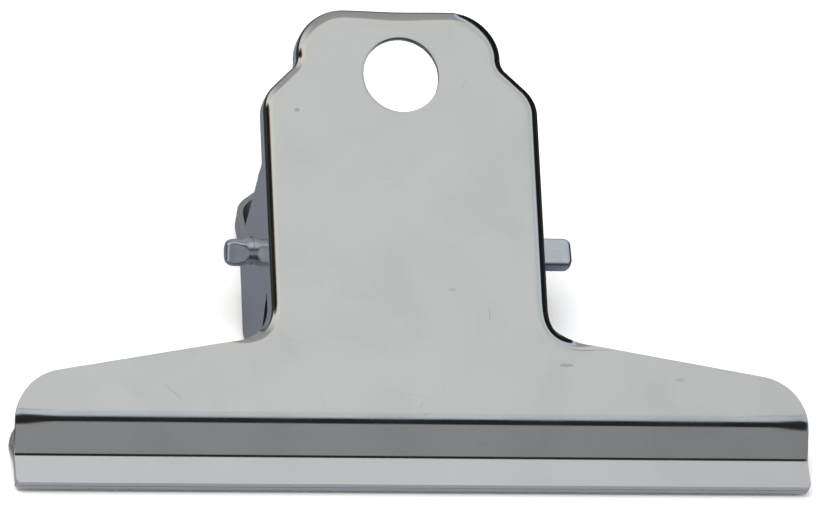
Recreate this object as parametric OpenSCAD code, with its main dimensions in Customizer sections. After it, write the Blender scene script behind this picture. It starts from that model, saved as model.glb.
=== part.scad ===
// Extra-large bulldog clip: two pressed plates, a hinge pin and a torsion spring.
// The rear plate lies flat on z = 0, and the pin runs along x above y = 0.
// The handles point along +y and the jaws along -y.

/* [Sheet] */
// Thickness of the steel sheet
sheet_t = 1.1; // [0.8:0.1:1.4]
// Outside radius of the curled handle edge
curl_r = 2.4; // [2:0.1:3]
// Depth of the curled edge, from the outer face
curl_depth = 5.5; // [4.5:0.1:6]

/* [Handle] */
// Height of the pin axis above the outer face of each plate
pin_depth = 16.4; // [15:0.1:18]
// Distance from the pin to the top edge of the handle
handle_top = 42; // [41:0.2:46]
// Width of the front handle; the rear one is narrower, so that its ears fit inside
handle_w = 51; // [48:0.2:56]
// Width of the narrower tab at the top
tab_w = 38; // [35:0.2:40]
// Radius of the tab's corners
tab_r = 9.2; // [7:0.1:9.4]
// Height of the tab, down to where the shoulders start
tab_h = 10.8; // [10.6:0.2:13]
// Angle of the shoulders to the handle's sides
shoulder_angle = 46; // [42:1:52]
// Radius where the tab meets a shoulder
neck_r = 3; // [2.5:0.1:3.5]
// Radius where a shoulder meets the handle's side
shoulder_r = 6.6; // [4.2:0.1:7]
// Diameter of the hanging hole
hang_hole_d = 14; // [10:0.5:16]
// Distance from the pin to the middle of the hanging hole
hang_hole_y = 28.8; // [27:0.2:31]

/* [Wings] */
// Width of the jaws
jaw_w = 145; // [120:1:170]
// Distance from the pin down to where the handle's sides would meet the wings
wing_root = 20.6; // [19:0.2:23]
// Slope of the wings' upper edges
wing_angle = 10; // [6:0.2:12]
// Radius between the handle and a wing
root_r = 8.4; // [5:0.1:9]
// Length over which the curled edge fades out along a wing, past that radius
curl_fade = 2; // [1:0.5:6]
// Radius of the wings' tips
tip_r = 9.5; // [5:0.5:10]

/* [Jaws] */
// Distance from the pin to the bend above the jaws
jaw_bend_y = 36.4; // [35.6:0.2:39]
// Angle between the handle and the middle plane
half_angle = 16.6; // [14:0.2:18]
// Angle of the bend above the jaws
jaw_bend = 21; // [18:1:30]
// Outside radius of that bend
jaw_bend_r = 2.2; // [1.8:0.1:3]
// Inside radius of the fold between strip and lip
fold_r = 0.8; // [0.3:0.1:1]
// Length of the lips
lip_len = 5.4; // [4:0.1:8]
// Chamfer at the lips' corners
lip_chamfer = 0.6; // [0.4:0.1:2]
// Gap between the closed lips
lip_gap = 0.1; // [0.05:0.05:0.3]

/* [Ears] */
// How far the rear plate's ears reach past the pin axis
ear_reach = 8; // [6:0.1:9]
// How far the front plate's ears reach past the pin axis
outer_reach = 8.6; // [7:0.1:9]
// How far the front plate's ears lean outwards
ear_splay = 3; // [2:0.5:4]
// Where the ear's upper edge leaves the curled edge, above the pin
ear_top = 13.2; // [12:0.2:15]
// Where the ear's upper edge ends, above the pin
ear_tip = 3; // [2:0.2:4.4]
// Where the lower edge of the rear plate's ears ends, below the pin
ear_foot = 8; // [6:0.2:9]
// Where the end edge of the front plate's ears ends, below the pin
outer_foot = 15; // [13:0.2:16]
// Where the ears' lower edges meet the curled edge, below the pin
ear_bottom = 11; // [10:0.2:12]
// Width of the slit between the front plate's ears and the curled edge below them
ear_slit = 1.4; // [1:0.1:2]
// Radius of the ear's corners
ear_r = 3; // [2:0.1:4]
// Side clearance between two overlapping ears
ear_gap = 0.2; // [0.1:0.05:0.4]

/* [Pin] */
// Diameter of the hinge pin
pin_d = 5; // [4:0.1:6]
// Clearance of the pin in its holes, on the diameter
pin_play = 0.2; // [0.1:0.05:0.4]
// How far the pin's left end stands out past the front plate's ear
left_pin_out = 4.8; // [4:0.1:8]
// How far its right end stands out
right_pin_out = 7.6; // [4:0.1:9]
// Thickness of the pinched ends
pinch_t = 3.4; // [2.6:0.1:4]
// Width of the pinched ends
pinch_w = 6; // [5.4:0.1:7]
// Length of the run-out between pin and pinched end
pinch_run = 1.6; // [1:0.1:2.5]
// How far the left pinch is turned towards the jaws
left_pinch_turn = 10; // [0:5:180]
// How far the right pinch is turned towards the jaws
right_pinch_turn = 25; // [0:5:180]

/* [Spring] */
// Diameter of the spring wire
wire_d = 2.4; // [2:0.1:2.6]
// Inner diameter of the coil
coil_d = 7.6; // [7:0.1:8.5]
// Number of full turns
coil_turns = 10; // [6:1:12]
// Gap between neighbouring turns
coil_gap = 0.5; // [0.45:0.05:0.8]
// Distance from the pin to the legs' tips
leg_tip = 27; // [20:1:30]
// Gap between the legs' tips and the handles
leg_gap = 0.3; // [0.2:0.05:0.5]

/* [Hidden] */
rear_w = handle_w - 2 * (sheet_t + ear_gap);
beyond = 100;
arc_step = 9;

// A path is a list of corners. Run i goes from corner i to corner i + 1, between their arcs.
function spot(path, i) = [path[i][0], path[i][1]];
function toward(angle) = [cos(angle), sin(angle)];
function run_angle(path, i) = let (d = spot(path, i + 1) - spot(path, i)) atan2(d[1], d[0]);
function turn_at(path, i) = let (t = run_angle(path, i) - run_angle(path, i - 1))
    t > 180 ? t - 360 : t < -180 ? t + 360 : t;
function arc_reach(path, i) = path[i][2] * tan(abs(turn_at(path, i)) / 2);
function arc_side(path, i) = turn_at(path, i) < 0 ? 1 : -1;
function arc_from(path, i) = run_angle(path, i - 1) + 90 * arc_side(path, i);
function arc_centre(path, i) = spot(path, i) - arc_reach(path, i) * toward(run_angle(path, i - 1))
    - path[i][2] * toward(arc_from(path, i));
function arc_angles(path, i) = let (turn = turn_at(path, i), steps = ceil(abs(turn) / arc_step))
    [for (k = [0:steps]) arc_from(path, i) + turn * k / steps];
function arc_points(path, i, inset = 0) = [for (a = arc_angles(path, i))
    arc_centre(path, i) + (path[i][2] - inset * arc_side(path, i)) * toward(a)];
function mirrored(points) = [for (k = [len(points) - 1:-1:0]) [-points[k][0], points[k][1]]];

// Side profile of the flat sheet, the strip and the lip, as points of the outer face: y and z
fold = jaw_bend + half_angle;
strip = (pin_depth * cos(half_angle) - jaw_bend_y * sin(half_angle) - lip_gap / 2 - sheet_t) / sin(fold);
fold_spot = [-jaw_bend_y, 0] + strip * toward(180 - jaw_bend);
side_path = [
    [handle_top, 0, 0],
    [-jaw_bend_y, 0, jaw_bend_r],
    [fold_spot[0], fold_spot[1], fold_r],
    [fold_spot[0] - lip_len * cos(half_angle), fold_spot[1] - lip_len * sin(half_angle), 0]
];
inner_normal = toward(90 + half_angle);
lip_end = side_path[3][0];
side_profile = concat(
    [spot(side_path, 0)],
    arc_points(side_path, 1),
    arc_points(side_path, 2),
    [spot(side_path, 3), spot(side_path, 3) + sheet_t * inner_normal],
    [for (k = [2, 1]) let (p = arc_points(side_path, k, sheet_t))
        each [for (j = [len(p) - 1:-1:0]) p[j]]],
    [[handle_top, sheet_t]]
);

// Corners of one half of a plate's outline, from the top edge to the jaws: x, y and radius.
// On a handle hardly wider than its tab the shoulders slope less, so that both their radii fit
tab_bottom = handle_top - tab_h;
function shoulder_slope(w) = min(shoulder_angle, 0.98 * acos(1 - (w - tab_w) / 2 / (neck_r + shoulder_r)));
function outline(w) = [
    [0, handle_top, 0],
    [tab_w / 2, handle_top, tab_r],
    [tab_w / 2, tab_bottom, neck_r],
    [w / 2, tab_bottom - (w - tab_w) / 2 / tan(shoulder_slope(w)), shoulder_r],
    [w / 2, -wing_root, root_r],
    [jaw_w / 2, -wing_root - (jaw_w - w) / 2 * tan(wing_angle), tip_r],
    [jaw_w / 2, lip_end + lip_chamfer, 0]
];
root = 4;
tip = 5;

// Corners of an ear, seen from the side: y, z and radius
ear_base = curl_depth - sheet_t;
ear_pivot = curl_depth - sheet_t / 2;
inner_ear = [
    [ear_top, curl_depth, 0],
    [ear_tip, pin_depth + ear_reach, ear_r],
    [-ear_foot, pin_depth + ear_reach, ear_r],
    [-ear_bottom, curl_depth, 0]
];
slit_end = curl_depth + ear_slit;
outer_ear = [
    [ear_top, curl_depth, 0],
    [ear_tip, pin_depth + outer_reach, ear_r],
    [-outer_foot, pin_depth + outer_reach, ear_r],
    [-outer_foot - slit_end / 4, slit_end + ear_slit, ear_slit],
    [-ear_bottom, curl_depth, 0]
];

// Plan of the flat sheet: inside the curled edge, and out to the raw edge of the wings,
// which starts a lap before the curled edge ends
flat_edge = curl_r + 0.8;
leg_edge = curl_r + 1.3;
lap = 0.3;
function past_root(path, run) = spot(path, root) + (arc_reach(path, root) + run) * toward(-wing_angle);
function plan_half(path) = let (raw_start = past_root(path, curl_fade - lap)) concat(
    [for (i = [1:root]) each arc_points(path, i, flat_edge)],
    [raw_start + flat_edge * toward(-90 - wing_angle), raw_start],
    arc_points(path, tip),
    [spot(path, tip + 1), [jaw_w / 2 - lip_chamfer - sheet_t, lip_end - sheet_t]]
);

// Section across the curled edge, u outwards and z inwards, as it fades from 0 to 1.
// Its end keeps a small bend, tucked a little inside the raw edge
bend_steps = 6;
last_bend = 10;
tuck = 0.05;
function section(fade) = let (
    bend = 90 - (90 - last_bend) * fade * fade * (3 - 2 * fade),
    share = bend / 90,
    flange = (curl_depth - curl_r) * share * share + sheet_t / 2 * (1 - share),
    start = -curl_r * sin(bend) - flange * cos(bend) - tuck * fade,
    angles = [for (k = [0:bend_steps]) bend * k / bend_steps]
) concat(
    [[-leg_edge, 0]],
    [for (a = angles) [start + curl_r * sin(a), curl_r - curl_r * cos(a)]],
    [for (r = [curl_r, curl_r - sheet_t])
        [start + r * sin(bend) + flange * cos(bend), curl_r - r * cos(bend) + flange * sin(bend)]],
    [for (k = [bend_steps:-1:0]) [start + (curl_r - sheet_t) * sin(angles[k]),
        curl_r - (curl_r - sheet_t) * cos(angles[k])]],
    [[-leg_edge, sheet_t]]
);

// Stations along one half of the curled edge: x, y, outward angle and fade
root_arc = root_r * (90 - wing_angle) * PI / 180;
fade_steps = 3;
function arc_stations(path, i) = let (angles = arc_angles(path, i), last = len(angles) - 1)
    [for (k = [0:last]) let (
        p = arc_centre(path, i) + path[i][2] * toward(angles[k]),
        out = angles[k] + (arc_side(path, i) < 0 ? 180 : 0)
    ) [p[0], p[1], out, i < root ? 0 : k / last * root_arc / (root_arc + curl_fade)]];
function fading_stations(path) = [for (k = [1:fade_steps]) let (
    run = curl_fade * k / fade_steps,
    p = past_root(path, run)
) [p[0], p[1], 90 - wing_angle, (root_arc + run) / (root_arc + curl_fade)]];
function half_stations(path) = concat(
    [for (i = [1:root]) each arc_stations(path, i)],
    fading_stations(path)
);
function curl_rings(path) = let (
    half = half_stations(path),
    other_half = [for (k = [len(half) - 1:-1:0]) let (s = half[k]) [-s[0], s[1], 180 - s[2], s[3]]]
) [for (s = concat(other_half, half)) [for (q = section(s[3]))
    [s[0] + q[0] * cos(s[2]), s[1] + q[0] * sin(s[2]), q[1]]]];

// A solid through a list of rings, each with the same even number of points
module through(rings) {
    n = len(rings[0]);
    last = len(rings) - 1;
    walls = [for (i = [0:last - 1]) each [for (s = [0:n - 1]) each [
        [i * n + s, (i + 1) * n + s, i * n + (s + 1) % n],
        [i * n + (s + 1) % n, (i + 1) * n + s, (i + 1) * n + (s + 1) % n]
    ]]];
    caps = [for (s = [0:n / 2 - 2]) each [[s, s + 1, n - 2 - s], [s, n - 2 - s, n - 1 - s]]];
    far_caps = [for (c = caps) [for (k = [2:-1:0]) last * n + c[k]]];
    polyhedron(points = [for (r = rings) each r], faces = concat(walls, caps, far_caps), convexity = 10);
}

module both_sides() {
    for (side = [0, 1]) mirror([side, 0, 0]) children();
}

// The web, strip and lips: the side profile, cut to the plan
module flat_sheet(path) {
    plan = plan_half(path);
    intersection() {
        rotate([90, 0, 90]) linear_extrude(jaw_w + 2, center = true) polygon(side_profile);
        translate([0, 0, -1]) linear_extrude(pin_depth + 2) polygon(concat(plan, mirrored(plan)));
    }
}

module ear(corners) {
    last = len(corners) - 1;
    translate([-sheet_t / 2, 0, 0]) rotate([90, 0, 90]) linear_extrude(sheet_t) polygon(concat(
        [[ear_top, ear_base], spot(corners, 0)],
        [for (i = [1:last - 1]) each arc_points(corners, i)],
        [spot(corners, last), [-ear_bottom, ear_base]]
    ));
}

// A plate with a handle of the given width; its ears are added as children
module plate(w) {
    path = outline(w);
    difference() {
        union() {
            flat_sheet(path);
            through(curl_rings(path));
            both_sides() translate([(w - sheet_t) / 2, 0, 0]) children();
        }
        translate([0, hang_hole_y, -1]) cylinder(d = hang_hole_d, h = sheet_t + 2, $fn = 96);
        translate([-handle_w, 0, pin_depth]) rotate([0, 90, 0])
            cylinder(d = pin_d + pin_play, h = 2 * handle_w, $fn = 64);
    }
}

// Its ears stand square, inside the front plate's
module rear_plate() {
    color("silver") plate(rear_w) ear(inner_ear);
}

// Turned half a turn about the clip's long axis through the pin, with ears that lean outwards
module front_plate() {
    color("gainsboro") translate([0, 0, pin_depth]) rotate([half_angle, 0, 0])
        rotate([0, 180, 0]) rotate([-half_angle, 0, 0]) translate([0, 0, -pin_depth]) plate(handle_w)
            translate([0, 0, ear_pivot]) rotate([0, ear_splay, 0])
                translate([0, 0, -ear_pivot]) ear(outer_ear);
}

// Profile of one half of the pin: distance along it and radius, out to a domed end
pin_reach = handle_w / 2 + (pin_depth - ear_pivot) * tan(ear_splay);
dome_r = pinch_w;
dome_half = asin(pinch_w / 2 / dome_r);
function pin_half(end) = concat(
    [[0, 0], [end, 0]],
    [for (a = [5:5:dome_half - 1]) [end - dome_r * (1 - cos(a)), dome_r * sin(a)]],
    [
        [end - dome_r * (1 - cos(dome_half)), pinch_w / 2],
        [pin_reach + pinch_run, pinch_w / 2],
        [pin_reach + pinch_run / 2, pin_d / 2],
        [0, pin_d / 2]
    ]
);

// One half of the pin, its end pinched between two sloping flats
module pin_end(turned, out) {
    rotate([turned, 0, 0]) difference() {
        rotate([0, 90, 0]) rotate_extrude($fn = 64) polygon([for (p = pin_half(pin_reach + out)) [p[1], p[0]]]);
        for (face = [0, 1]) mirror([0, 0, face]) rotate([90, 0, 0])
            linear_extrude(beyond, center = true) polygon([
                [pin_reach + pinch_run / 4, pinch_w],
                [pin_reach + pinch_run / 4, pin_d / 2 + 0.05],
                [pin_reach + pinch_run * 1.4, pinch_t / 2],
                [beyond, pinch_t / 2],
                [beyond, pinch_w]
            ]);
    }
}

module hinge_pin() {
    color("lightsteelblue") translate([0, 0, pin_depth]) {
        pin_end(right_pinch_turn, right_pin_out);
        mirror([1, 0, 0]) pin_end(left_pinch_turn, left_pin_out);
    }
}

// Centre line of the spring: the rear leg, the turns about the pin and the front leg
rings_per_turn = 8;
wire_sides = 6;
coil_r = (coil_d + wire_d) / 2;
leg_rise = pin_depth - sheet_t - leg_gap - wire_d / 2;
leg_angle = -atan2(leg_rise, leg_tip) - acos(coil_r / norm([leg_tip, leg_rise]));
sweep = 360 * coil_turns + 2 * (half_angle - leg_angle) - 360;
pitch = wire_d + coil_gap;
coil_l = pitch * sweep / 360;
coil_steps = round(rings_per_turn * sweep / 360);

function coil_spot(k) = let (a = leg_angle - sweep * k / coil_steps)
    [-coil_l / 2 + coil_l * k / coil_steps, coil_r * cos(a), coil_r * sin(a)];
function mid_mirror(p) = [
    -p[0],
    p[1] * cos(2 * half_angle) + p[2] * sin(2 * half_angle),
    p[1] * sin(2 * half_angle) - p[2] * cos(2 * half_angle)
];
rear_tip = [-coil_l / 2, leg_tip, -leg_rise];
spring_line = concat(
    [rear_tip],
    [for (k = [0:coil_steps]) coil_spot(k)],
    [mid_mirror(rear_tip)]
);

// Each ring stands across the line: one axis along x, the other outwards in the y-z plane
function across(i) = let (
    last = len(spring_line) - 1,
    d = spring_line[min(i + 1, last)] - spring_line[max(i - 1, 0)],
    flat = norm([d[1], d[2]])
) [0, d[2] / flat, -d[1] / flat];
function leg_across(i) = let (
    last = len(spring_line) - 1,
    d = i <= 1 ? spring_line[1] - spring_line[0] : spring_line[last] - spring_line[last - 1],
    flat = norm([d[1], d[2]])
) [0, d[2] / flat, -d[1] / flat];
function ring(i) = let (
    on_leg = i <= 1 || i >= len(spring_line) - 2,
    out = on_leg ? leg_across(i) : across(i)
) [for (s = [0:wire_sides - 1]) spring_line[i]
    + wire_d / 2 * (cos(360 * s / wire_sides) * [1, 0, 0] + sin(360 * s / wire_sides) * out)];
spring_rings = [for (i = [0:len(spring_line) - 1]) ring(i)];

// Least distance between the points of neighbouring turns
coil_least = min([for (i = [1:coil_steps + 1 - rings_per_turn])
    each [for (p = spring_rings[i]) each [for (q = spring_rings[i + rings_per_turn]) norm(p - q)]]]);
echo(least_gap_between_turns = coil_least);

module torsion_spring() {
    color("slategray") translate([0, 0, pin_depth]) through(spring_rings);
}

front_plate();
rear_plate();
hinge_pin();
torsion_spring();
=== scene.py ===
import bmesh
import bpy
import math
import numpy as np
from mathutils import Matrix, Vector, noise
from mathutils.geometry import delaunay_2d_cdt


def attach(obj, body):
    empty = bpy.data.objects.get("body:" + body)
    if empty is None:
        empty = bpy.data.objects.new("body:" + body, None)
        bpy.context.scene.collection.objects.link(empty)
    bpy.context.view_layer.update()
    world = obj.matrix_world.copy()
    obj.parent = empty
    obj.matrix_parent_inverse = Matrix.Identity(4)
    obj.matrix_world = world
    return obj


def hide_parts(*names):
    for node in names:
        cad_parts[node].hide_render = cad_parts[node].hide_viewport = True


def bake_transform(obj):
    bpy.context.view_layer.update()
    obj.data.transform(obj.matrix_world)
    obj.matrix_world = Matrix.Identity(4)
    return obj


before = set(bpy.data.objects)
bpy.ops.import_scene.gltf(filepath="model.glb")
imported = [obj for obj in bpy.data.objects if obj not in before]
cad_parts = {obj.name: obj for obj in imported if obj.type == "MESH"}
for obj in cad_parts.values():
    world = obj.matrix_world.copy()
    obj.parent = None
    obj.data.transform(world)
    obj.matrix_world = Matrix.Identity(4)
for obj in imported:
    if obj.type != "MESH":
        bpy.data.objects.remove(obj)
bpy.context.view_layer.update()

mm = 0.001

# the pressings, in millimetres and degrees; the rear handle is narrower, so that its ears fit inside
plateShape = {
    "sheet": 1.1, "curlRadius": 2.4, "curlDepth": 5.5, "topRoll": 0.9, "topBulge": 0.6,
    "pinDepth": 16.4, "handleTop": 42, "handleWidth": 51,
    "tabWidth": 38, "tabRadius": 9.2, "tabHeight": 10.8,
    "shoulderAngle": 46, "neckRadius": 3, "shoulderRadius": 6.6,
    "holeDiameter": 14, "holeY": 28.8,
    "jawWidth": 145, "wingRoot": 20.6, "wingAngle": 10, "rootRadius": 8.4,
    "tipRadius": 9.5, "curlFade": 2, "fadeStretch": 1.15, "bulgeReach": 6,
    "jawBendY": 36.4, "halfAngle": 16.6, "jawBend": 21, "jawBendRadius": 3.6,
    "easeBend": 4, "easeReach": 0.9, "easeRadius": 6,
    "endRadius": 7.5, "endReach": 1.5, "endLength": 8,
    "foldRadius": 1.8, "lipLength": 5.4, "lipChamfer": 0.6, "lipGap": 0.1,
    "innerReach": 8, "outerReach": 8.6, "earSplay": 3, "earTop": 13.2, "earTip": 3,
    "innerFoot": 8, "outerFoot": 15, "earBottom": 11, "earSlit": 2.4,
    "earRadius": 3, "earGap": 0.2, "pinHole": 5.2,
}
# how finely the pressings are meshed: degrees, millimetres and counts
sheetMesh = {
    "curlRows": 14, "curlStep": 4.5, "curlLead": 0.8, "straightStep": 2.2, "fadeParts": 7, "topParts": 8,
    "spacing": 3, "clear": 1.4, "bendClear": 0.9, "closeLength": 9, "pastEnd": 1.6,
    "margins": (2.5, 2, 1, 3), "holeSides": 96, "collar": 1.1,
    "earSpacing": 2.0, "earGrid": (-16, 14, 26), "earClear": 0.9, "boreSides": 56, "boreClear": 0.8,
}


def cornerArc(path, i):  # centre, radius, first angle and turn of the rounded corner i
    (ax, ay), (bx, by), (cx, cy) = path[i - 1][:2], path[i][:2], path[i + 1][:2]
    r = path[i][2]
    inward, outward = math.atan2(by - ay, bx - ax), math.atan2(cy - by, cx - bx)
    turn = (outward - inward + math.pi) % (2 * math.pi) - math.pi
    side = 1 if turn < 0 else -1
    reach = r * math.tan(abs(turn) / 2)
    first = inward + side * math.pi / 2
    centre = np.array([bx - reach * math.cos(inward) - r * math.cos(first),
                       by - reach * math.sin(inward) - r * math.sin(first)])
    return centre, r, first, turn, side


def arcSpots(path, i, step, inset=0):
    centre, r, first, turn, side = cornerArc(path, i)
    count = max(1, math.ceil(abs(math.degrees(turn)) / step))
    angles = [first + turn * k / count for k in range(count + 1)]
    return [(centre + (r - inset * side) * np.array([math.cos(a), math.sin(a)]), a) for a in angles]


def smooth(t):
    t = min(1.0, max(0.0, t))
    return t * t * (3 - 2 * t)


def rearShape(s):
    return {**s, "handleWidth": s["handleWidth"] - 2 * (s["sheet"] + s["earGap"])}


def plateNumbers(s):  # outline and side view of a pressing
    half = math.radians(s["halfAngle"])
    bend = math.radians(s["jawBend"])
    strip = (s["pinDepth"] * math.cos(half) - s["jawBendY"] * math.sin(half)
             - s["lipGap"] / 2 - s["sheet"]) / math.sin(bend + half)
    foldY, foldZ = -s["jawBendY"] - strip * math.cos(bend), strip * math.sin(bend)
    endY, endZ = foldY - s["lipLength"] * math.cos(half), foldZ - s["lipLength"] * math.sin(half)
    ease = math.tan(math.radians(s["easeBend"]))  # the bend above the jaws starts with a gentle one
    on = s["easeReach"] * ease / (math.tan(bend) - ease)
    side = [(s["handleTop"], 0, 0), (-s["jawBendY"] + s["easeReach"], 0, s["easeRadius"]),
            (-s["jawBendY"] - on, on * math.tan(bend), s["jawBendRadius"]),
            (foldY, foldZ, s["foldRadius"]), (endY, endZ, 0)]
    tabBottom = s["handleTop"] - s["tabHeight"]
    spread = (s["handleWidth"] - s["tabWidth"]) / 2
    run = (s["jawWidth"] - s["handleWidth"]) / 2
    w, j = s["handleWidth"] / 2, s["jawWidth"] / 2
    outline = [
        (0, s["handleTop"], 0), (s["tabWidth"] / 2, s["handleTop"], s["tabRadius"]),
        (s["tabWidth"] / 2, tabBottom, s["neckRadius"]),
        (w, tabBottom - spread / math.tan(math.radians(s["shoulderAngle"])), s["shoulderRadius"]),
        (w, -s["wingRoot"], s["rootRadius"]),
        (j, -s["wingRoot"] - run * math.tan(math.radians(s["wingAngle"])), s["tipRadius"]),
        (j, endY + s["lipChamfer"], 0),
    ]
    bends = [p for i, step in ((1, 2), (2, 1.6), (3, 2.5)) for p, a in arcSpots(side, i, step)]
    profile = np.array([side[0][:2]] + [tuple(p) for p in bends] + [(endY, endZ)])[::-1]
    return {"outline": outline, "bends": bends, "profile": profile, "lipEnd": endY}


def curlSection(s, bend, wider, rows):  # outer face across the curled edge: outwards and inwards
    share = bend / (math.pi / 2)
    r = s["curlRadius"] + wider
    flat = r + sheetMesh["curlLead"]
    if bend <= 0:
        return [(-flat + flat * k / (rows + 2), 0.0) for k in range(rows + 3)]
    flange = (s["curlDepth"] - r) * share * share + s["sheet"] / 2 * (1 - share)
    start = -r * math.sin(bend) - flange * math.cos(bend)
    points = [(-flat, 0.0)]
    points += [(start + r * math.sin(bend * k / rows), r - r * math.cos(bend * k / rows))
               for k in range(rows + 1)]
    points.append((start + r * math.sin(bend) + flange * math.cos(bend),
                   r - r * math.cos(bend) + flange * math.sin(bend)))
    return points


def plateStations(s, form):  # along one half of the curled edge: x, y, outward angle, bend, extra radius
    outline, found = form["outline"], []
    arcLength = s["rootRadius"] * abs(cornerArc(outline, 4)[3])
    fadeLength = (arcLength + s["curlFade"]) * s["fadeStretch"]
    for i in (1, 2, 3, 4):
        side = cornerArc(outline, i)[4]
        spots = arcSpots(outline, i, sheetMesh["curlStep"])
        arc = []
        for k, (p, a) in enumerate(spots):
            out = a + (math.pi if side < 0 else 0)
            gone = arcLength * k / (len(spots) - 1) if i == 4 else 0
            arc.append((p[0], p[1], out, gone))
        if found:  # more stations along the straight run before this arc
            x0, y0, out0, _ = found[-1]
            x1, y1 = arc[0][:2]
            marks = []
            if i == 4:
                marks = [(y0 - y) / (y0 - y1) for y in (s["earTop"], -s["earBottom"])]
            parts = max(1, round(math.hypot(x1 - x0, y1 - y0) / sheetMesh["straightStep"]))
            shares = sorted(set([k / parts for k in range(1, parts)] + marks))
            shares = [t for t in shares if t in marks or all(abs(t - m) > 0.02 for m in marks)]
            found += [(x0 + (x1 - x0) * t, y0 + (y1 - y0) * t, out0, 0) for t in shares]
        found += arc
    x0, y0, out0, _ = found[-1]
    slope = out0 - math.pi / 2
    left, parts = fadeLength - arcLength, sheetMesh["fadeParts"]
    for k in range(1, parts + 1):
        d = left * k / parts
        found.append((x0 + d * math.cos(slope), y0 + d * math.sin(slope), out0, arcLength + d))
    first, parts = found[0], sheetMesh["topParts"]
    top = [(first[0] * k / parts, first[1], first[2], 0) for k in range(parts)]
    stations = []
    for x, y, out, gone in top + found:
        bend = 0.0 if gone >= fadeLength - 1e-6 else math.pi / 2 * (1 - smooth(gone / fadeLength))
        above = smooth((y - s["handleTop"] + s["tabRadius"]) / s["tabRadius"])
        wider = s["topRoll"] + s["topBulge"] * math.exp(-(x / s["bulgeReach"]) ** 2)
        stations.append((x, y, out, bend, above * wider))
    return stations


def insideOf(polygon, points):
    px, py = polygon[:, 0], polygon[:, 1]
    qx, qy = np.roll(px, -1), np.roll(py, -1)
    x, y = points[:, 0][:, None], points[:, 1][:, None]
    with np.errstate(divide="ignore", invalid="ignore"):
        hits = ((py > y) != (qy > y)) & (x < (qx - px) * (y - py) / (qy - py) + px)
    return hits.sum(1) % 2 == 1


def filled(boundary, holes, lines, extra):  # triangles over a flat outline with holes
    n = len(boundary)
    verts, edges = [Vector(p) for p in boundary], [(k, (k + 1) % n) for k in range(n)]
    for loop in holes:
        b = len(verts)
        verts += [Vector(p) for p in loop]
        edges += [(b + k, b + (k + 1) % len(loop)) for k in range(len(loop))]
    for row in lines:
        b = len(verts)
        verts += [Vector(p) for p in row]
        edges += [(b + k, b + k + 1) for k in range(len(row) - 1)]
    verts += [Vector(p) for p in extra]
    out = delaunay_2d_cdt(verts, edges, [], 0, 1e-5)
    points = np.array([tuple(v) for v in out[0]])
    faces = [f for f in out[2] if len(f) == 3]
    middles = np.array([points[list(f)].mean(0) for f in faces])
    keep = insideOf(np.array(boundary), middles)
    for loop in holes:
        keep &= ~insideOf(np.array(loop), middles)
    return points, [f for f, k in zip(faces, keep) if k]


def ringSpots(x, y, d, count):
    return [(x + d / 2 * math.cos(2 * math.pi * k / count), y + d / 2 * math.sin(2 * math.pi * k / count))
            for k in range(count)]


def innerEar(s):  # corners seen from the side: y, z and radius
    end = s["pinDepth"] + s["innerReach"]
    return [(s["earTop"], s["curlDepth"], 0), (s["earTip"], end, s["earRadius"]),
            (-s["innerFoot"], end, s["earRadius"]), (-s["earBottom"], s["curlDepth"], 0)]


def outerEar(s):  # it reaches further down, past a slit above the curled edge
    end, slitEnd = s["pinDepth"] + s["outerReach"], s["curlDepth"] + s["earSlit"]
    return [(s["earTop"], s["curlDepth"], 0), (s["earTip"], end, s["earRadius"]),
            (-s["outerFoot"], end, s["earRadius"]),
            (-s["outerFoot"] - slitEnd / 4, slitEnd + s["earSlit"], s["earSlit"]),
            (-s["earBottom"], s["curlDepth"], 0)]


def earSheet(s, corners, onFlange):
    around = [tuple(p) for i in range(1, len(corners) - 1) for p, a in arcSpots(corners, i, 5)]
    outline = [(y, s["curlDepth"]) for y in onFlange] + around
    polygon = np.array(outline)
    step = sheetMesh["earSpacing"]
    low, high, end = sheetMesh["earGrid"]
    grid = np.array([(y, z) for y in np.arange(low, high, step)
                     for z in np.arange(s["curlDepth"] + step, end, step)])
    grid = grid[insideOf(polygon, grid)]
    far = np.array([np.hypot(*(polygon - g).T).min() for g in grid]) > sheetMesh["earClear"]
    far &= np.hypot(grid[:, 0], grid[:, 1] - s["pinDepth"]) > s["pinHole"] / 2 + sheetMesh["boreClear"]
    bore = ringSpots(0, s["pinDepth"], s["pinHole"], sheetMesh["boreSides"])
    return filled(outline, [bore], [], [tuple(g) for g in grid[far]])


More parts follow.
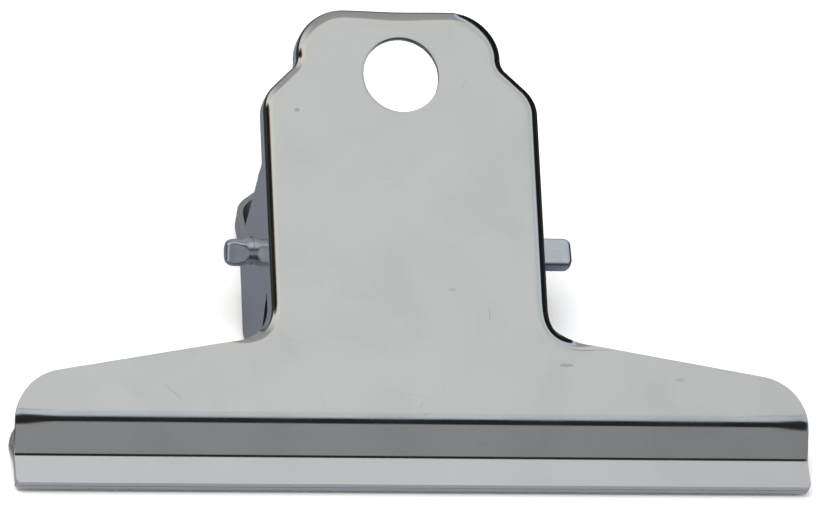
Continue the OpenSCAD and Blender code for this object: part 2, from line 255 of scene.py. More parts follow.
def plateSheet(s, corners, splay):  # the outer face of one pressing, as vertices and faces in millimetres
    form = plateNumbers(s)
    endForm = plateNumbers({**s, "jawBendRadius": s["endRadius"], "easeReach": s["endReach"]})
    rows, step, clear = sheetMesh["curlRows"], sheetMesh["spacing"], sheetMesh["clear"]
    half = plateStations(s, form)
    stations = [(-x, y, math.pi - out, bend, wider) for x, y, out, bend, wider in half[:0:-1]] + half
    rings = []
    for x, y, out, bend, wider in stations:
        section = curlSection(s, bend, wider, rows)
        rings.append([(x + u * math.cos(out), y + u * math.sin(out), w) for u, w in section])

    # the flat web, the bent strip and the lip
    inner = [r[0][:2] for r in rings]
    lastRing = [p[:2] for p in rings[-1][1:]]
    tip = [tuple(p) for p, a in arcSpots(form["outline"], 5, 5)]
    j, lipEnd, bends = s["jawWidth"] / 2, form["lipEnd"], endForm["bends"]
    sideEdge = [(j, lipEnd + s["lipChamfer"]), (j - s["lipChamfer"], lipEnd)]
    rightHalf = lastRing + tip + sideEdge
    leftHalf = [(-x, y) for x, y in rightHalf[::-1]]
    boundary = inner + rightHalf + leftHalf
    # the collar is a second ring that keeps the hole's rim even
    hole, collar = (ringSpots(0, s["holeY"], d, sheetMesh["holeSides"])
                    for d in (s["holeDiameter"], s["holeDiameter"] + sheetMesh["collar"]))
    columns = [x for x in np.arange(-j - step / 2, j + sheetMesh["pastEnd"], step / 2)
               if abs(x) > j - sheetMesh["closeLength"] or round((x + j) * 2 / step) % 2]
    bendRows = [[(x, y) for x in columns] for y in sorted({round(float(p[0]), 4) for p in bends})]
    polygon = np.array(boundary)
    left, right, low, high = sheetMesh["margins"]
    grid = np.array([(x, y) for x in np.arange(-j + left, j - right, step)
                     for y in np.arange(lipEnd + low, s["handleTop"] - high, step)])
    grid = grid[insideOf(polygon, grid)]
    away = np.array([np.hypot(*(polygon - g).T).min() for g in grid]) > clear
    away &= np.hypot(grid[:, 0], grid[:, 1] - s["holeY"]) > s["holeDiameter"] / 2 + clear
    away &= np.array([min(abs(g[1] - p[0]) for p in bends) > sheetMesh["bendClear"] for g in grid])
    lines = bendRows + [collar + collar[:1]]
    flat, flatFaces = filled(boundary, [hole], lines, [tuple(g) for g in grid[away]])

    verts, faces, index = [], [], {}

    def place(p):
        key = tuple(round(float(c), 4) for c in p)
        if key not in index:
            index[key] = len(verts)
            verts.append(key)
        return index[key]

    def lifted(x, y):  # the bend above the jaws widens at both ends
        middle, end = (float(np.interp(y, f["profile"][:, 0], f["profile"][:, 1])) for f in (form, endForm))
        return (x, y, middle + (end - middle) * smooth((abs(x) - j) / s["endLength"] + 1))

    for f in flatFaces:
        ids = [place(lifted(*flat[i])) for i in f]
        if len(set(ids)) == 3:
            faces.append(ids)
    for a, b in zip(rings, rings[1:]):
        for k in range(len(a) - 1):
            ids = [place(a[k]), place(b[k]), place(b[k + 1]), place(a[k + 1])]
            ids = list(dict.fromkeys(ids))
            if len(ids) > 2:
                faces.append(ids)

    # the ears, on from the straight flanges
    straight = [r[-1][1] for r, station in zip(rings, stations) if station[0] > 0 and abs(station[2]) < 1e-6]
    onFlange = sorted({round(float(y), 4) for y in straight
                       if -s["earBottom"] - 1e-3 < y < s["earTop"] + 1e-3})
    ear, earFaces = earSheet(s, corners, onFlange)
    for side in (-1, 1):
        spots = [(side * (s["handleWidth"] / 2 + (z - s["curlDepth"]) * splay), y, z) for y, z in ear]
        faces += [[place(spots[i]) for i in f] for f in earFaces]
    return verts, faces


# unevenness that pressing leaves in the web, and how soft its edges are
pressed = {"wave": 0.05, "waveAcross": 17, "waveAlong": 15, "lift": 0.4,
           "flatRim": 3.4, "fade": 8, "flatTop": 4, "flatBend": 1, "bendFade": 7,
           "bow": 0.15, "bowLength": 8, "softEdge": 0.16}


def buildPlate(name, s, w, corners, splay, seed, placing, materials):
    verts, faces = plateSheet(s, corners, splay)
    mesh = bpy.data.meshes.new(name)
    mesh.from_pydata([tuple(c * mm for c in v) for v in verts], [], faces)
    bm = bmesh.new()
    bm.from_mesh(mesh)
    bmesh.ops.remove_doubles(bm, verts=bm.verts, dist=0.00001)
    bmesh.ops.recalc_face_normals(bm, faces=bm.faces)
    web = [f for f in bm.faces if abs(f.calc_center_median().z) < 1e-7]
    if sum(f.normal.z * f.calc_area() for f in web) > 0:
        bmesh.ops.reverse_faces(bm, faces=bm.faces)
    spots = bm.verts.layers.float_vector.new("plateSpot")  # the place on the pressing, for its finish
    for v in bm.verts:
        v[spots] = v.co
        if abs(v.co.z) < 1e-7 and v.co.y > (s["easeReach"] - s["jawBendY"]) * mm:
            x, y = v.co.x / mm, v.co.y / mm
            inward = s["handleWidth"] / 2 - w["flatRim"] - abs(x)
            rim = smooth(inward / w["fade"]) if y > -s["wingRoot"] else 1
            low = smooth((y + s["jawBendY"] - w["flatBend"]) / w["bendFade"])
            high = smooth((s["handleTop"] - w["flatTop"] - y) / w["fade"])
            wave = noise.noise(Vector((x / w["waveAcross"], y / w["waveAlong"], seed))) + w["lift"]
            v.co.z += w["wave"] * mm * (low * high * rim) * wave
            rise = min(1, (y + s["jawBendY"]) / w["bowLength"])  # the web bows a little above the bend
            v.co.z -= w["bow"] * mm * rise * (1 - rise) ** 2
    for f in bm.faces:
        f.smooth = True
    bm.transform(placing)
    bm.to_mesh(mesh)
    bm.free()
    plate = bpy.data.objects.new(name, mesh)
    bpy.context.scene.collection.objects.link(plate)
    for m in materials:
        mesh.materials.append(m)
    thick = plate.modifiers.new("sheet", "SOLIDIFY")
    thick.thickness = s["sheet"] * mm
    thick.offset = -1
    thick.use_even_offset = True
    # the inner faces take the third material, whose darker colour is painted shade
    thick.material_offset = 2
    thick.material_offset_rim = 1
    soft = plate.modifiers.new("softEdges", "BEVEL")
    soft.width = w["softEdge"] * mm
    soft.segments = 2
    soft.limit_method = "ANGLE"
    soft.angle_limit = math.radians(50)
    even = plate.modifiers.new("evenShade", "WEIGHTED_NORMAL")
    even.keep_sharp = True
    return plate


def builtFrom(name, rings, material):  # a skin over rings of points, capped at both ends
    n = len(rings[0])
    verts = [tuple(c * mm for c in p) for r in rings for p in r]
    faces = [(i * n + k, i * n + (k + 1) % n, (i + 1) * n + (k + 1) % n, (i + 1) * n + k)
             for i in range(len(rings) - 1) for k in range(n)]
    faces += [tuple(range(n))[::-1], tuple((len(rings) - 1) * n + k for k in range(n))]
    mesh = bpy.data.meshes.new(name)
    mesh.from_pydata(verts, [], faces)
    bm = bmesh.new()
    bm.from_mesh(mesh)
    bmesh.ops.recalc_face_normals(bm, faces=bm.faces)
    for f in bm.faces:
        f.smooth = True
    bm.to_mesh(mesh)
    bm.free()
    made = bpy.data.objects.new(name, mesh)
    bpy.context.scene.collection.objects.link(made)
    mesh.materials.append(material)
    return made


pinShape = {  # both ends are pinched, the left one on a slant
    "diameter": 5, "softness": 0.22, "clear": 0.4, "tipNarrow": 0.42, "tipLower": 0.7, "tipUnder": 0.45,
    "plainStops": (0, 6, 12, 18), "earStops": (-1.5, -0.4, 0.1), "pinchFrom": 0.3, "whole": 0.05,
    "pinchRings": 14, "flatRings": 5, "tipRings": 8, "tipTurn": 8.3,
    "pointsPerSide": 18, "evenShare": 0.3, "cornerLimit": 0.25,
    "left": {"out": 4.8, "wide": 5, "run": 1.4, "turn": 56, "drop": 0.6, "round": 1.5,
             "top": 1.9, "tipTop": 1.6, "under": 2.45},
    "right": {"out": 7.6, "wide": 6, "run": 1.6, "turn": 25, "drop": 0, "round": 1.3,
              "top": 1.7, "tipTop": 1.7, "under": 1.7},
}


def pinRings(p, end, s):  # one half: place along the pin, half width, both half thicknesses and drop
    splayed = (s["pinDepth"] - s["curlDepth"] + s["sheet"] / 2) * math.tan(math.radians(s["earSplay"]))
    reach = s["handleWidth"] / 2 + splayed
    tip, full = reach + end["out"], p["diameter"] / 2
    whole = full + p["whole"]  # no flat at all
    neck = reach + p["clear"]  # the pinch starts just outside the ear
    flat, last = neck + end["run"], tip - end["round"]
    xs = list(p["plainStops"]) + [reach + d for d in p["earStops"]]
    xs += list(np.linspace(reach + p["pinchFrom"], flat, p["pinchRings"]))
    xs += list(np.linspace(flat, last, p["flatRings"]))[1:]
    rings = []
    for x in xs:
        done = smooth((x - neck) / end["run"])
        slant = max(0, (x - flat) / (last - flat)) * (end["tipTop"] - end["top"])
        wide = full + (end["wide"] / 2 - full) * done
        top, under = (whole + (end[flatSide] - whole) * done for flatSide in ("top", "under"))
        rings.append((x, wide, top + slant, under, end["drop"] * done))
    for k in range(1, p["tipRings"] + 1):  # the rounded end
        a = math.pi / 2 * k / p["tipTurn"]
        less = 1 - math.cos(a)
        rings.append((tip - end["round"] * (1 - math.sin(a)),
                      end["wide"] / 2 * (1 - p["tipNarrow"] * less ** 0.9),
                      end["tipTop"] - p["tipLower"] * less ** 1.5,
                      end["under"] * (1 - p["tipUnder"] * less ** 1.5), end["drop"]))
    return rings


def ringAngles(p, wide, top, under):  # the same points of each ring follow the edges of both flats
    count, even = p["pointsPerSide"], p["evenShare"]
    steepest = math.pi / 2 - p["cornerLimit"]
    up, low = (min(math.asin(min(1, limit / wide)), steepest) for limit in (top, under))
    stops = [-low, up, math.pi - up, math.pi + low, 2 * math.pi - low]
    shares = [even * k / count + (1 - even) / 2 * (1 - math.cos(math.pi * k / count)) for k in range(count)]
    return [a + (b - a) * share for a, b in zip(stops, stops[1:]) for share in shares]


def buildPin(p, s, material):
    rings = []
    for side, end in ((-1, p["left"]), (1, p["right"])):
        half = pinRings(p, end, s)
        c, q = math.cos(math.radians(end["turn"])), math.sin(math.radians(end["turn"]))
        for x, wide, top, under, drop in (half[:0:-1] if side < 0 else half):
            ring = []
            for a in ringAngles(p, wide, top, under):
                across, through = wide * math.cos(a), wide * math.sin(a)
                limit = top if through > 0 else under
                gap = abs(through) - limit
                soft = p["softness"] * min(1, max(0, (wide - limit) / p["softness"]))
                lower = min(abs(through), limit)
                if soft > 0.001:
                    lower -= soft * max(0, 1 - abs(gap) / soft) ** 2 / 4
                through = math.copysign(lower, through)
                ring.append((side * x, across * c - through * q - drop,
                             s["pinDepth"] + across * q + through * c))
            rings.append(ring)
    return builtFrom("hingePin", rings, material)


springShape = {"wire": 2.4, "coil": 7.6, "turns": 10, "gap": 0.5, "legTip": 27, "legGap": 0.3,
               "endShare": 0.82, "endRound": 0.2, "ringsPerTurn": 30, "sides": 16, "legSteps": 10}


def buildSpring(w, s, material):
    r = (w["coil"] + w["wire"]) / 2
    rise = s["pinDepth"] - s["sheet"] - w["legGap"] - w["wire"] / 2
    half = math.radians(s["halfAngle"])
    first = -math.atan2(rise, w["legTip"]) - math.acos(r / math.hypot(w["legTip"], rise))
    sweep = 2 * math.pi * (w["turns"] - 1) + 2 * (half - first)
    length = (w["wire"] + w["gap"]) * sweep / (2 * math.pi)
    steps = round(w["ringsPerTurn"] * sweep / (2 * math.pi))
    rearTip = np.array([-length / 2, w["legTip"], -rise])

    def turned(p):
        return np.array([-p[0], p[1] * math.cos(2 * half) + p[2] * math.sin(2 * half),
                         p[1] * math.sin(2 * half) - p[2] * math.cos(2 * half)])

    coil = [np.array([-length / 2 + length * k / steps, r * math.cos(first - sweep * k / steps),
                      r * math.sin(first - sweep * k / steps)]) for k in range(steps + 1)]
    rearLeg = [rearTip + (coil[0] - rearTip) * k / w["legSteps"] for k in range(w["legSteps"])]
    line = rearLeg + coil + [turned(p) for p in rearLeg[::-1]]
    rings = []
    for i, p in enumerate(line):
        d = line[min(i + 1, len(line) - 1)] - line[max(i - 1, 0)]
        d /= np.linalg.norm(d)
        across = np.cross(d, [1, 0, 0])
        across /= np.linalg.norm(across)
        other = np.cross(d, across)
        middle = p + [0, 0, s["pinDepth"]]
        rings.append([middle + w["wire"] / 2 * (math.cos(a) * other + math.sin(a) * across)
                      for a in np.linspace(0, 2 * math.pi, w["sides"], endpoint=False)])
    for at, nextTo in ((0, 1), (-1, -2)):  # cut ends, slightly rounded
        middle = np.mean(rings[at], axis=0)
        out = middle - np.mean(rings[nextTo], axis=0)
        out /= np.linalg.norm(out)
        small = [middle + (q - middle) * w["endShare"] for q in rings[at]]
        rings[at] = [q - w["endRound"] * out for q in rings[at]]
        if at == 0:
            rings.insert(0, small)
        else:
            rings.append(small)
    return builtFrom("torsionSpring", rings, material), length


def newGroup(name, inputs, outputs):
    group = bpy.data.node_groups.new(name, "ShaderNodeTree")
    for label, kind, value in inputs:
        made = group.interface.new_socket(name=label, in_out="INPUT", socket_type=kind)
        if value is not None:
            made.default_value = value
    for label, kind in outputs:
        group.interface.new_socket(name=label, in_out="OUTPUT", socket_type=kind)
    return group, group.nodes.new("NodeGroupInput"), group.nodes.new("NodeGroupOutput")


def addNode(tree, kind, values=None, **settings):
    node = tree.nodes.new(kind)
    for key, value in settings.items():
        setattr(node, key, value)
    for key, value in (values or {}).items():
        if isinstance(value, bpy.types.NodeSocket):
            tree.links.new(value, node.inputs[key])
        else:
            node.inputs[key].default_value = value
    return node


def math2(tree, kind, a, b):
    return addNode(tree, "ShaderNodeMath", {0: a, 1: b}, operation=kind).outputs[0]


def vector2(tree, kind, a, b):
    return addNode(tree, "ShaderNodeVectorMath", {0: a, 1: b}, operation=kind).outputs[0]


def ranged(tree, value, low, high, toLow=0.0, toHigh=1.0):
    return addNode(tree, "ShaderNodeMapRange", {0: value, 1: low, 2: high, 3: toLow, 4: toHigh},
                   interpolation_type="SMOOTHSTEP").outputs[0]


def rolledGrain():  # faint lines the rolling mill leaves along the sheet
    inputs = [("Vector", "NodeSocketVector", None), ("Scale", "NodeSocketFloat", 1.0),
              ("Stretch", "NodeSocketVector", (1.0, 1.0, 1.0))]
    group, source, out = newGroup("rolledGrain", inputs, [("Mask", "NodeSocketFloat")])
    scaled = vector2(group, "MULTIPLY", source.outputs[0], source.outputs[2])
    fine = addNode(group, "ShaderNodeTexNoise", {"Vector": scaled, "Scale": source.outputs[1],
                                                 "Detail": 3.0, "Roughness": 0.6})
    group.links.new(fine.outputs["Fac"], out.inputs[0])
    return group


def handlingHaze():  # smudges and cloudy patches from handling
    inputs = [("Vector", "NodeSocketVector", None), ("Scale", "NodeSocketFloat", 60.0)]
    group, source, out = newGroup("handlingHaze", inputs, [("Mask", "NodeSocketFloat")])
    wide = addNode(group, "ShaderNodeTexNoise", {"Vector": source.outputs[0], "Scale": source.outputs[1],
                                                 "Detail": 4.0, "Roughness": 0.55, "Distortion": 0.4})
    mask = ranged(group, wide.outputs["Fac"], 0.38, 0.72)
    group.links.new(mask, out.inputs[0])
    return group


def hairScratches():  # sparse hair-fine scratches in two directions
    inputs = [("Vector", "NodeSocketVector", None), ("Scale", "NodeSocketFloat", 1.0),
              ("Width", "NodeSocketFloat", 0.02)]
    group, source, out = newGroup("hairScratches", inputs, [("Mask", "NodeSocketFloat")])
    total = None
    for angle, stretch in ((0.5, 0.03), (-0.9, 0.05), (1.35, 0.04)):
        turned = addNode(group, "ShaderNodeVectorRotate", {"Vector": source.outputs[0], "Angle": angle},
                         rotation_type="Z_AXIS")
        scaled = vector2(group, "MULTIPLY", turned.outputs[0], (1.0, stretch, 1.0))
        cells = addNode(group, "ShaderNodeTexVoronoi", {"Vector": scaled, "Scale": source.outputs[1]},
                        feature="DISTANCE_TO_EDGE")
        line = math2(group, "LESS_THAN", cells.outputs["Distance"], source.outputs[2])
        patch = addNode(group, "ShaderNodeTexNoise",
                        {"Vector": turned.outputs[0], "Scale": 90.0, "Detail": 1.0})
        here = math2(group, "GREATER_THAN", patch.outputs["Fac"], 0.62)
        mark = math2(group, "MULTIPLY", line, here)
        total = mark if total is None else math2(group, "MAXIMUM", total, mark)
    group.links.new(total, out.inputs[0])
    return group


grain, haze, scratches = rolledGrain(), handlingHaze(), hairScratches()
print("effects ready")


def placed(tree, group, **values):
    node = tree.nodes.new("ShaderNodeGroup")
    node.node_tree = group
    for key, value in values.items():
        if isinstance(value, bpy.types.NodeSocket):
            tree.links.new(value, node.inputs[key])
        else:
            node.inputs[key].default_value = value
    return node.outputs[0]


def newMaterial(name, spotName=None):
    material = bpy.data.materials.new(name)
    material.use_nodes = True
    tree = material.node_tree
    shader = tree.nodes["Principled BSDF"]
    if spotName:
        where = addNode(tree, "ShaderNodeAttribute", attribute_name=spotName).outputs["Vector"]
    else:
        where = tree.nodes.new("ShaderNodeTexCoord").outputs["Object"]
    return material, tree, shader, where


def colourMix(tree, factor, a, b):
    return addNode(tree, "ShaderNodeMix", {0: factor, 6: a, 7: b}, data_type="RGBA").outputs[2]


nickelLook = {
    "colour": (0.719, 0.725, 0.714, 1), "cloud": (0.66, 0.67, 0.66, 1), "scuff": (0.33, 0.31, 0.27, 1),
    "roughness": 0.09, "hazeRoughness": 0.05, "scratchRoughness": 0.06, "rolledRoughness": 0.04,
    "hairTint": 0.04, "cloudTint": 0.35, "bump": 0.04, "rolledHeight": 0.5, "hairHeight": -0.3,
    "rolledScale": 900.0, "cloudScale": 55.0, "hairScale": 150.0, "hairWidth": 0.0022,
    # marks from handling, in the plate's own millimetres: x, y, half length, half height, strength
    "marks": ((19.6, 21.7, 0.55, 0.45, 0.5), (-14.2, -16.5, 0.2, 1.4, 0.3), (-28.0, -25.7, 1.7, 0.4, 0.45),
              (-48.9, -28.3, 1.2, 0.5, 0.3), (-7.5, -11.8, 0.9, 0.5, 0.2)),
}
# the inner faces of both pressings: rougher, and darker in colour as painted shade for the hollow between
# the plates
insidePaintedShadeLook = {**nickelLook, "colour": (0.50, 0.505, 0.51, 1), "cloud": (0.44, 0.445, 0.45, 1),
              "roughness": 0.28}


def nickelFinish(name, look):
    material, tree, shader, where = newMaterial(name, "plateSpot")
    lines = placed(tree, grain, Vector=where, Scale=look["rolledScale"], Stretch=(1.0, 0.05, 1.0))
    clouds = placed(tree, haze, Vector=where, Scale=look["cloudScale"])
    hairs = placed(tree, scratches, Vector=where, Scale=look["hairScale"], Width=look["hairWidth"])
    clouded = math2(tree, "MULTIPLY", clouds, look["cloudTint"])
    colour = colourMix(tree, clouded, look["colour"], look["cloud"])
    colour = colourMix(tree, math2(tree, "MULTIPLY", hairs, look["hairTint"]), colour, look["scuff"])
    for x, y, halfLong, halfHigh, strength in look["marks"]:
        moved = vector2(tree, "SUBTRACT", where, (x * mm, y * mm, 0))
        sized = vector2(tree, "MULTIPLY", moved, (1 / halfLong / mm, 1 / halfHigh / mm, 30))
        ragged = addNode(tree, "ShaderNodeTexNoise", {"Vector": where, "Scale": 900.0, "Detail": 2.0})
        bent = vector2(tree, "ADD", ragged.outputs["Color"], sized)
        near = vector2(tree, "SUBTRACT", bent, (0.5, 0.5, 0.5))
        size = addNode(tree, "ShaderNodeVectorMath", {0: near}, operation="LENGTH").outputs["Value"]
        spot = math2(tree, "MULTIPLY", ranged(tree, size, 0.5, 1.0, 1.0, 0.0), strength)
        colour = colourMix(tree, spot, colour, look["scuff"])
    tree.links.new(colour, shader.inputs["Base Color"])
    rough = math2(tree, "MULTIPLY", clouds, look["hazeRoughness"])
    rough = math2(tree, "ADD", rough, math2(tree, "MULTIPLY", hairs, look["scratchRoughness"]))
    rough = math2(tree, "ADD", rough, math2(tree, "MULTIPLY", lines, look["rolledRoughness"]))
    rough = math2(tree, "ADD", rough, look["roughness"])
    tree.links.new(rough, shader.inputs["Roughness"])
    height = math2(tree, "ADD", math2(tree, "MULTIPLY", lines, look["rolledHeight"]),
                   math2(tree, "MULTIPLY", hairs, look["hairHeight"]))
    bump = addNode(tree, "ShaderNodeBump", {"Strength": look["bump"], "Distance": 0.0002, "Height": height})
    tree.links.new(bump.outputs[0], shader.inputs["Normal"])
    shader.inputs["Metallic"].default_value = 1.0
    return material


edgeLook = {"low": (0.46, 0.46, 0.46, 1), "high": (0.54, 0.54, 0.55, 1), "roughness": (0.24, 0.42),
            "scale": 350.0, "stretch": (0.25, 1.0, 1.0), "relief": 0.08}


def edgeFinish(look):  # the sheared edge, plated over a rougher cut
    material, tree, shader, where = newMaterial("cutEdge", "plateSpot")
    lines = placed(tree, grain, Vector=where, Scale=look["scale"], Stretch=look["stretch"])
    tree.links.new(colourMix(tree, lines, look["low"], look["high"]), shader.inputs["Base Color"])
    tree.links.new(ranged(tree, lines, 0.3, 0.7, *look["roughness"]), shader.inputs["Roughness"])
    bump = addNode(tree, "ShaderNodeBump", {"Strength": look["relief"], "Distance": 0.0001, "Height": lines})
    tree.links.new(bump.outputs[0], shader.inputs["Normal"])
    shader.inputs["Metallic"].default_value = 1.0
    return material


pinLook = {"colour": (0.65, 0.73, 0.80, 1), "dark": (0.56, 0.63, 0.70, 1), "roughness": (0.26, 0.31),
           "scale": 1500.0, "cloudScale": 220.0, "stretch": (0.1, 1.0, 1.0), "relief": 0.01}
springLook = {**pinLook, "colour": (0.36, 0.36, 0.37, 1), "dark": (0.22, 0.22, 0.23, 1),
              "roughness": (0.28, 0.33), "stretch": (1.0, 1.0, 1.0), "relief": 0.08}


def wireFinish(name, look):  # drawn wire and rod: fine lines and darker clouds
    material, tree, shader, where = newMaterial(name)
    lines = placed(tree, grain, Vector=where, Scale=look["scale"], Stretch=look["stretch"])
    clouds = placed(tree, haze, Vector=where, Scale=look["cloudScale"])
    tree.links.new(colourMix(tree, clouds, look["colour"], look["dark"]), shader.inputs["Base Color"])
    tree.links.new(ranged(tree, lines, 0.2, 0.8, *look["roughness"]), shader.inputs["Roughness"])
    bump = addNode(tree, "ShaderNodeBump", {"Strength": look["relief"], "Distance": 0.0001, "Height": lines})
    tree.links.new(bump.outputs[0], shader.inputs["Normal"])
    shader.inputs["Metallic"].default_value = 1.0
    return material


plateNickel = nickelFinish("plateNickel", nickelLook)
plateInsidePaintedShade = nickelFinish("plateInsidePaintedShade", insidePaintedShadeLook)
cutEdge = edgeFinish(edgeLook)
pinNickel = wireFinish("pinNickel", pinLook)
springWire = wireFinish("springWire", springLook)
print("finishes ready")

pinHeight = plateShape["pinDepth"] * mm
tilt = math.radians(plateShape["halfAngle"])
halfTurn = Matrix.Rotation(tilt, 4, "X") @ Matrix.Rotation(math.pi, 4, "Y") @ Matrix.Rotation(-tilt, 4, "X")
frontPlacing = Matrix.Translation((0, 0, pinHeight)) @ halfTurn @ Matrix.Translation((0, 0, -pinHeight))
leaning = math.tan(math.radians(plateShape["earSplay"]))
plateMaterials = [plateNickel, cutEdge, plateInsidePaintedShade]
frontPlate = buildPlate("frontPlate", plateShape, pressed, outerEar(plateShape), leaning, 3.1,
                        frontPlacing, plateMaterials)
rearPlate = buildPlate("rearPlate", rearShape(plateShape), pressed, innerEar(plateShape), 0, 8.6,
                       Matrix.Identity(4), plateMaterials)
for plate, node, body in ((frontPlate, "front_plate", "front_jaw"), (rearPlate, "rear_plate", "rear_jaw")):
    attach(plate, body)
    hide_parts(node)
print("plates built")  # both in their closed position

hingePin = buildPin(pinShape, plateShape, pinNickel)
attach(hingePin, "rear_jaw")
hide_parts("hinge_pin")

torsionSpring, coilLength = buildSpring(springShape, plateShape, springWire)
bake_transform(torsionSpring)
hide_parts("torsion_spring")
print("pin and spring built")

# what the metal mirrors: bands from the front horizon over the zenith to the back, and the two sides
surroundBands = [  # place from 0 at the front to 1 at the back, brightness, tint
    (0.00, 0.34, (1.0, 0.99, 1.0)), (0.13, 0.315, (0.98, 1.0, 1.05)), (0.188, 0.315, (0.98, 1.0, 1.05)),
    (0.200, 0.02, (1.0, 1.0, 1.0)), (0.348, 0.02, (1.0, 1.0, 1.0)), (0.356, 0.78, (0.88, 0.98, 1.12)),
    (0.374, 0.68, (0.92, 1.0, 1.06)), (0.386, 0.63, (0.98, 1.03, 1.04)), (0.402, 0.745, (1.0, 1.045, 1.035)),
    (0.430, 0.70, (1.0, 1.045, 1.035)), (0.455, 0.72, (1.03, 1.0, 0.93)), (0.54, 0.74, (1.02, 1.0, 0.95)),
    (0.575, 0.74, (0.96, 0.99, 1.03)), (0.612, 0.76, (0.96, 0.99, 1.03)), (0.635, 0.40, (1.02, 1.0, 0.98)),
    (0.80, 0.37, (1.02, 1.0, 0.98)), (1.00, 0.34, (1.0, 1.0, 1.0)),
]
surroundSides = [  # place from 0 at the left to 1 at the right, how much it covers, brightness, tint
    (0.040, 1.0, 0.012, (1.0, 1.0, 1.0)), (0.055, 1.0, 0.16, (1.3, 1.0, 0.82)),
    (0.075, 1.0, 0.80, (1.06, 1.0, 0.90)), (0.18, 0.7, 0.82, (1.03, 1.0, 0.94)),
    (0.32, 0.0, 0.74, (1.0, 1.0, 1.0)), (0.78, 0.0, 0.74, (1.0, 1.0, 1.0)),
    (0.82, 1.0, 0.72, (0.90, 1.0, 1.12)), (0.900, 1.0, 0.64, (0.82, 0.97, 1.20)),
    (0.912, 1.0, 0.012, (1.0, 1.0, 1.0)), (1.0, 1.0, 0.012, (1.0, 1.0, 1.0)),
]
surround = {
    "bands": surroundBands, "sides": surroundSides,
    "towardBack": 0.69,  # how much sooner the right side darkens towards the back
    "rightShade": 0.16,  # how much dimmer the bands are on the right
    "shadeFrom": (0.60, 0.66), "sidewaysFrom": (0.15, 0.35),
}


def fillRamp(ramp, stops):  # stops of place, colour and cover
    while len(ramp.elements) < len(stops):
        ramp.elements.new(1.0)
    for element, (place, colour, cover) in zip(ramp.elements, stops):
        element.position = place
        element.color = (*colour, cover)


def studioSurround(s):
    world = bpy.data.worlds.new("studio")
    bpy.context.scene.world = world
    world.use_nodes = True
    tree = world.node_tree
    where = addNode(tree, "ShaderNodeTexCoord").outputs["Generated"]
    parts = addNode(tree, "ShaderNodeSeparateXYZ", {0: where}).outputs
    along = ranged(tree, math2(tree, "ARCTAN2", parts[1], parts[2]), -math.pi / 2, math.pi / 2)
    across = ranged(tree, parts[0], -1.0, 1.0)
    for node in (along.node, across.node):
        node.interpolation_type = "LINEAR"
    shade = ranged(tree, across, *s["shadeFrom"])
    behind = math2(tree, "MAXIMUM", math2(tree, "SUBTRACT", along, 0.5), 0.0)
    behind = math2(tree, "MULTIPLY", behind, s["towardBack"])
    rightward = ranged(tree, parts[0], *s["sidewaysFrom"])
    across = math2(tree, "ADD", across, math2(tree, "MULTIPLY", behind, rightward))
    over = addNode(tree, "ShaderNodeValToRGB", {0: along})
    fillRamp(over.color_ramp, [(at, [light * t for t in tint], 1.0) for at, light, tint in s["bands"]])
    side = addNode(tree, "ShaderNodeValToRGB", {0: across})
    fillRamp(side.color_ramp, [(at, [light * t for t in tint], cover)
                               for at, cover, light, tint in s["sides"]])
    shade = math2(tree, "MULTIPLY", shade, s["rightShade"])
    shaded = colourMix(tree, shade, over.outputs["Color"], (0, 0, 0, 1))
    colour = colourMix(tree, side.outputs["Alpha"], shaded, side.outputs["Color"])
    tree.links.new(colour, tree.nodes["Background"].inputs["Color"])


lamps = {"overhead": {"place": (-0.5, -0.3, 1.6), "size": 1.4, "watts": 30},
         "fill": {"place": (0.9, -0.9, 1.2), "size": 1.4, "watts": 16}}


def softLamp(name, place, size, watts):  # aimed at the clip
    lamp = bpy.data.lights.new(name, "AREA")
    lamp.shape, lamp.size, lamp.energy = "DISK", size, watts
    made = bpy.data.objects.new(name, lamp)
    bpy.context.scene.collection.objects.link(made)
    made.location = place
    made.rotation_euler = Vector(place).to_track_quat("Z", "Y").to_euler()
    made.visible_glossy = False  # it lights the floor; the metal shows only the surround


# the colours after paper are painted shade and painted reflection, seen only in the metal
floorLook = {"size": 6, "below": 0.00002, "paper": (0.9, 0.9, 0.9, 1), "dark": (0.02, 0.02, 0.02, 1),
             "paintedShadeBesideEars": (0.167, 0.179, 0.212, 1), "paintedReflectionInFront": (0.40, 0.42, 0.44, 1),
             "left": (-0.060, -0.045), "right": (0.040, 0.055), "front": (-0.033, -0.037)}


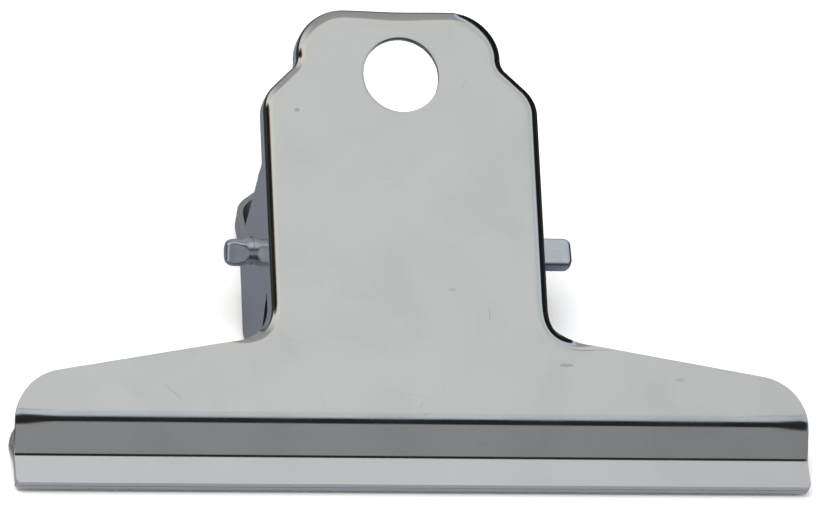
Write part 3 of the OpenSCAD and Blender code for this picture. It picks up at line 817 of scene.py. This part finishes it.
def paleFloor(f):
    bpy.ops.mesh.primitive_plane_add(size=f["size"], location=(0, 0, -f["below"]))
    floor = bpy.context.object
    floor.name = "paleFloor"
    material = bpy.data.materials.new("palePaper")
    material.use_nodes = True
    tree = material.node_tree
    shader = tree.nodes["Principled BSDF"]
    shader.inputs["Roughness"].default_value = 0.9
    shader.inputs["Specular IOR Level"].default_value = 0.1
    # painted shade and painted reflection: only glossy rays see the floor dim beside the ears, dark further
    # out and on the right, and light in front; all other rays see the pale paper
    spot = tree.nodes.new("ShaderNodeTexCoord").outputs["Object"]
    x, y = addNode(tree, "ShaderNodeSeparateXYZ", {0: spot}).outputs[:2]
    beside = math2(tree, "MULTIPLY", ranged(tree, x, *f["left"]), ranged(tree, x, *f["right"], 1.0, 0.0))
    paintedFloorShade = colourMix(tree, beside, f["dark"], f["paintedShadeBesideEars"])
    paintedFloorShade = colourMix(tree, ranged(tree, y, *f["front"]), paintedFloorShade, f["paintedReflectionInFront"])
    mirrored = tree.nodes.new("ShaderNodeLightPath").outputs["Is Glossy Ray"]
    tree.links.new(colourMix(tree, mirrored, f["paper"], paintedFloorShade), shader.inputs["Base Color"])
    floor.data.materials.append(material)


studioSurround(surround)
paleFloor(floorLook)
for name, lamp in lamps.items():
    softLamp(name, **lamp)
print("studio set")

cameraSetup = {  # degrees, millimetres, and pixels of the photograph's frame
    "azimuth": -15.07, "elevation": 38.99, "roll": 10.45, "distance": 1091.8,
    "aim": (0.65, 0, 15), "focus": 5954, "middle": (393.15, 258.43), "frame": (823, 512),
}


def photoCamera(c):
    a, e, r = (math.radians(c[k]) for k in ("azimuth", "elevation", "roll"))
    back = Vector((math.sin(a) * math.cos(e), -math.cos(a) * math.cos(e), math.sin(e)))
    right = Vector((math.cos(a), math.sin(a), 0))
    up = back.cross(right)
    turnedRight = math.cos(r) * right + math.sin(r) * up
    turnedUp = -math.sin(r) * right + math.cos(r) * up
    wide, high = c["frame"]
    ahead = (-c["focus"] * back + (wide / 2 - c["middle"][0]) * turnedRight
             + (c["middle"][1] - high / 2) * turnedUp)
    ahead.normalize()
    sideways = ahead.cross(turnedUp).normalized()
    upwards = sideways.cross(ahead)
    data = bpy.data.cameras.new("photoCamera")
    data.sensor_width = 36
    data.lens = c["focus"] / wide * data.sensor_width
    data.clip_start, data.clip_end = 0.05, 20
    camera = bpy.data.objects.new("photoCamera", data)
    bpy.context.scene.collection.objects.link(camera)
    camera.matrix_world = Matrix((sideways, upwards, -ahead)).transposed().to_4x4()
    camera.location = (Vector(c["aim"]) + c["distance"] * back) * mm
    bpy.context.scene.camera = camera


photoCamera(cameraSetup)
bpy.context.scene.view_settings.view_transform = "Standard"
print("camera set")
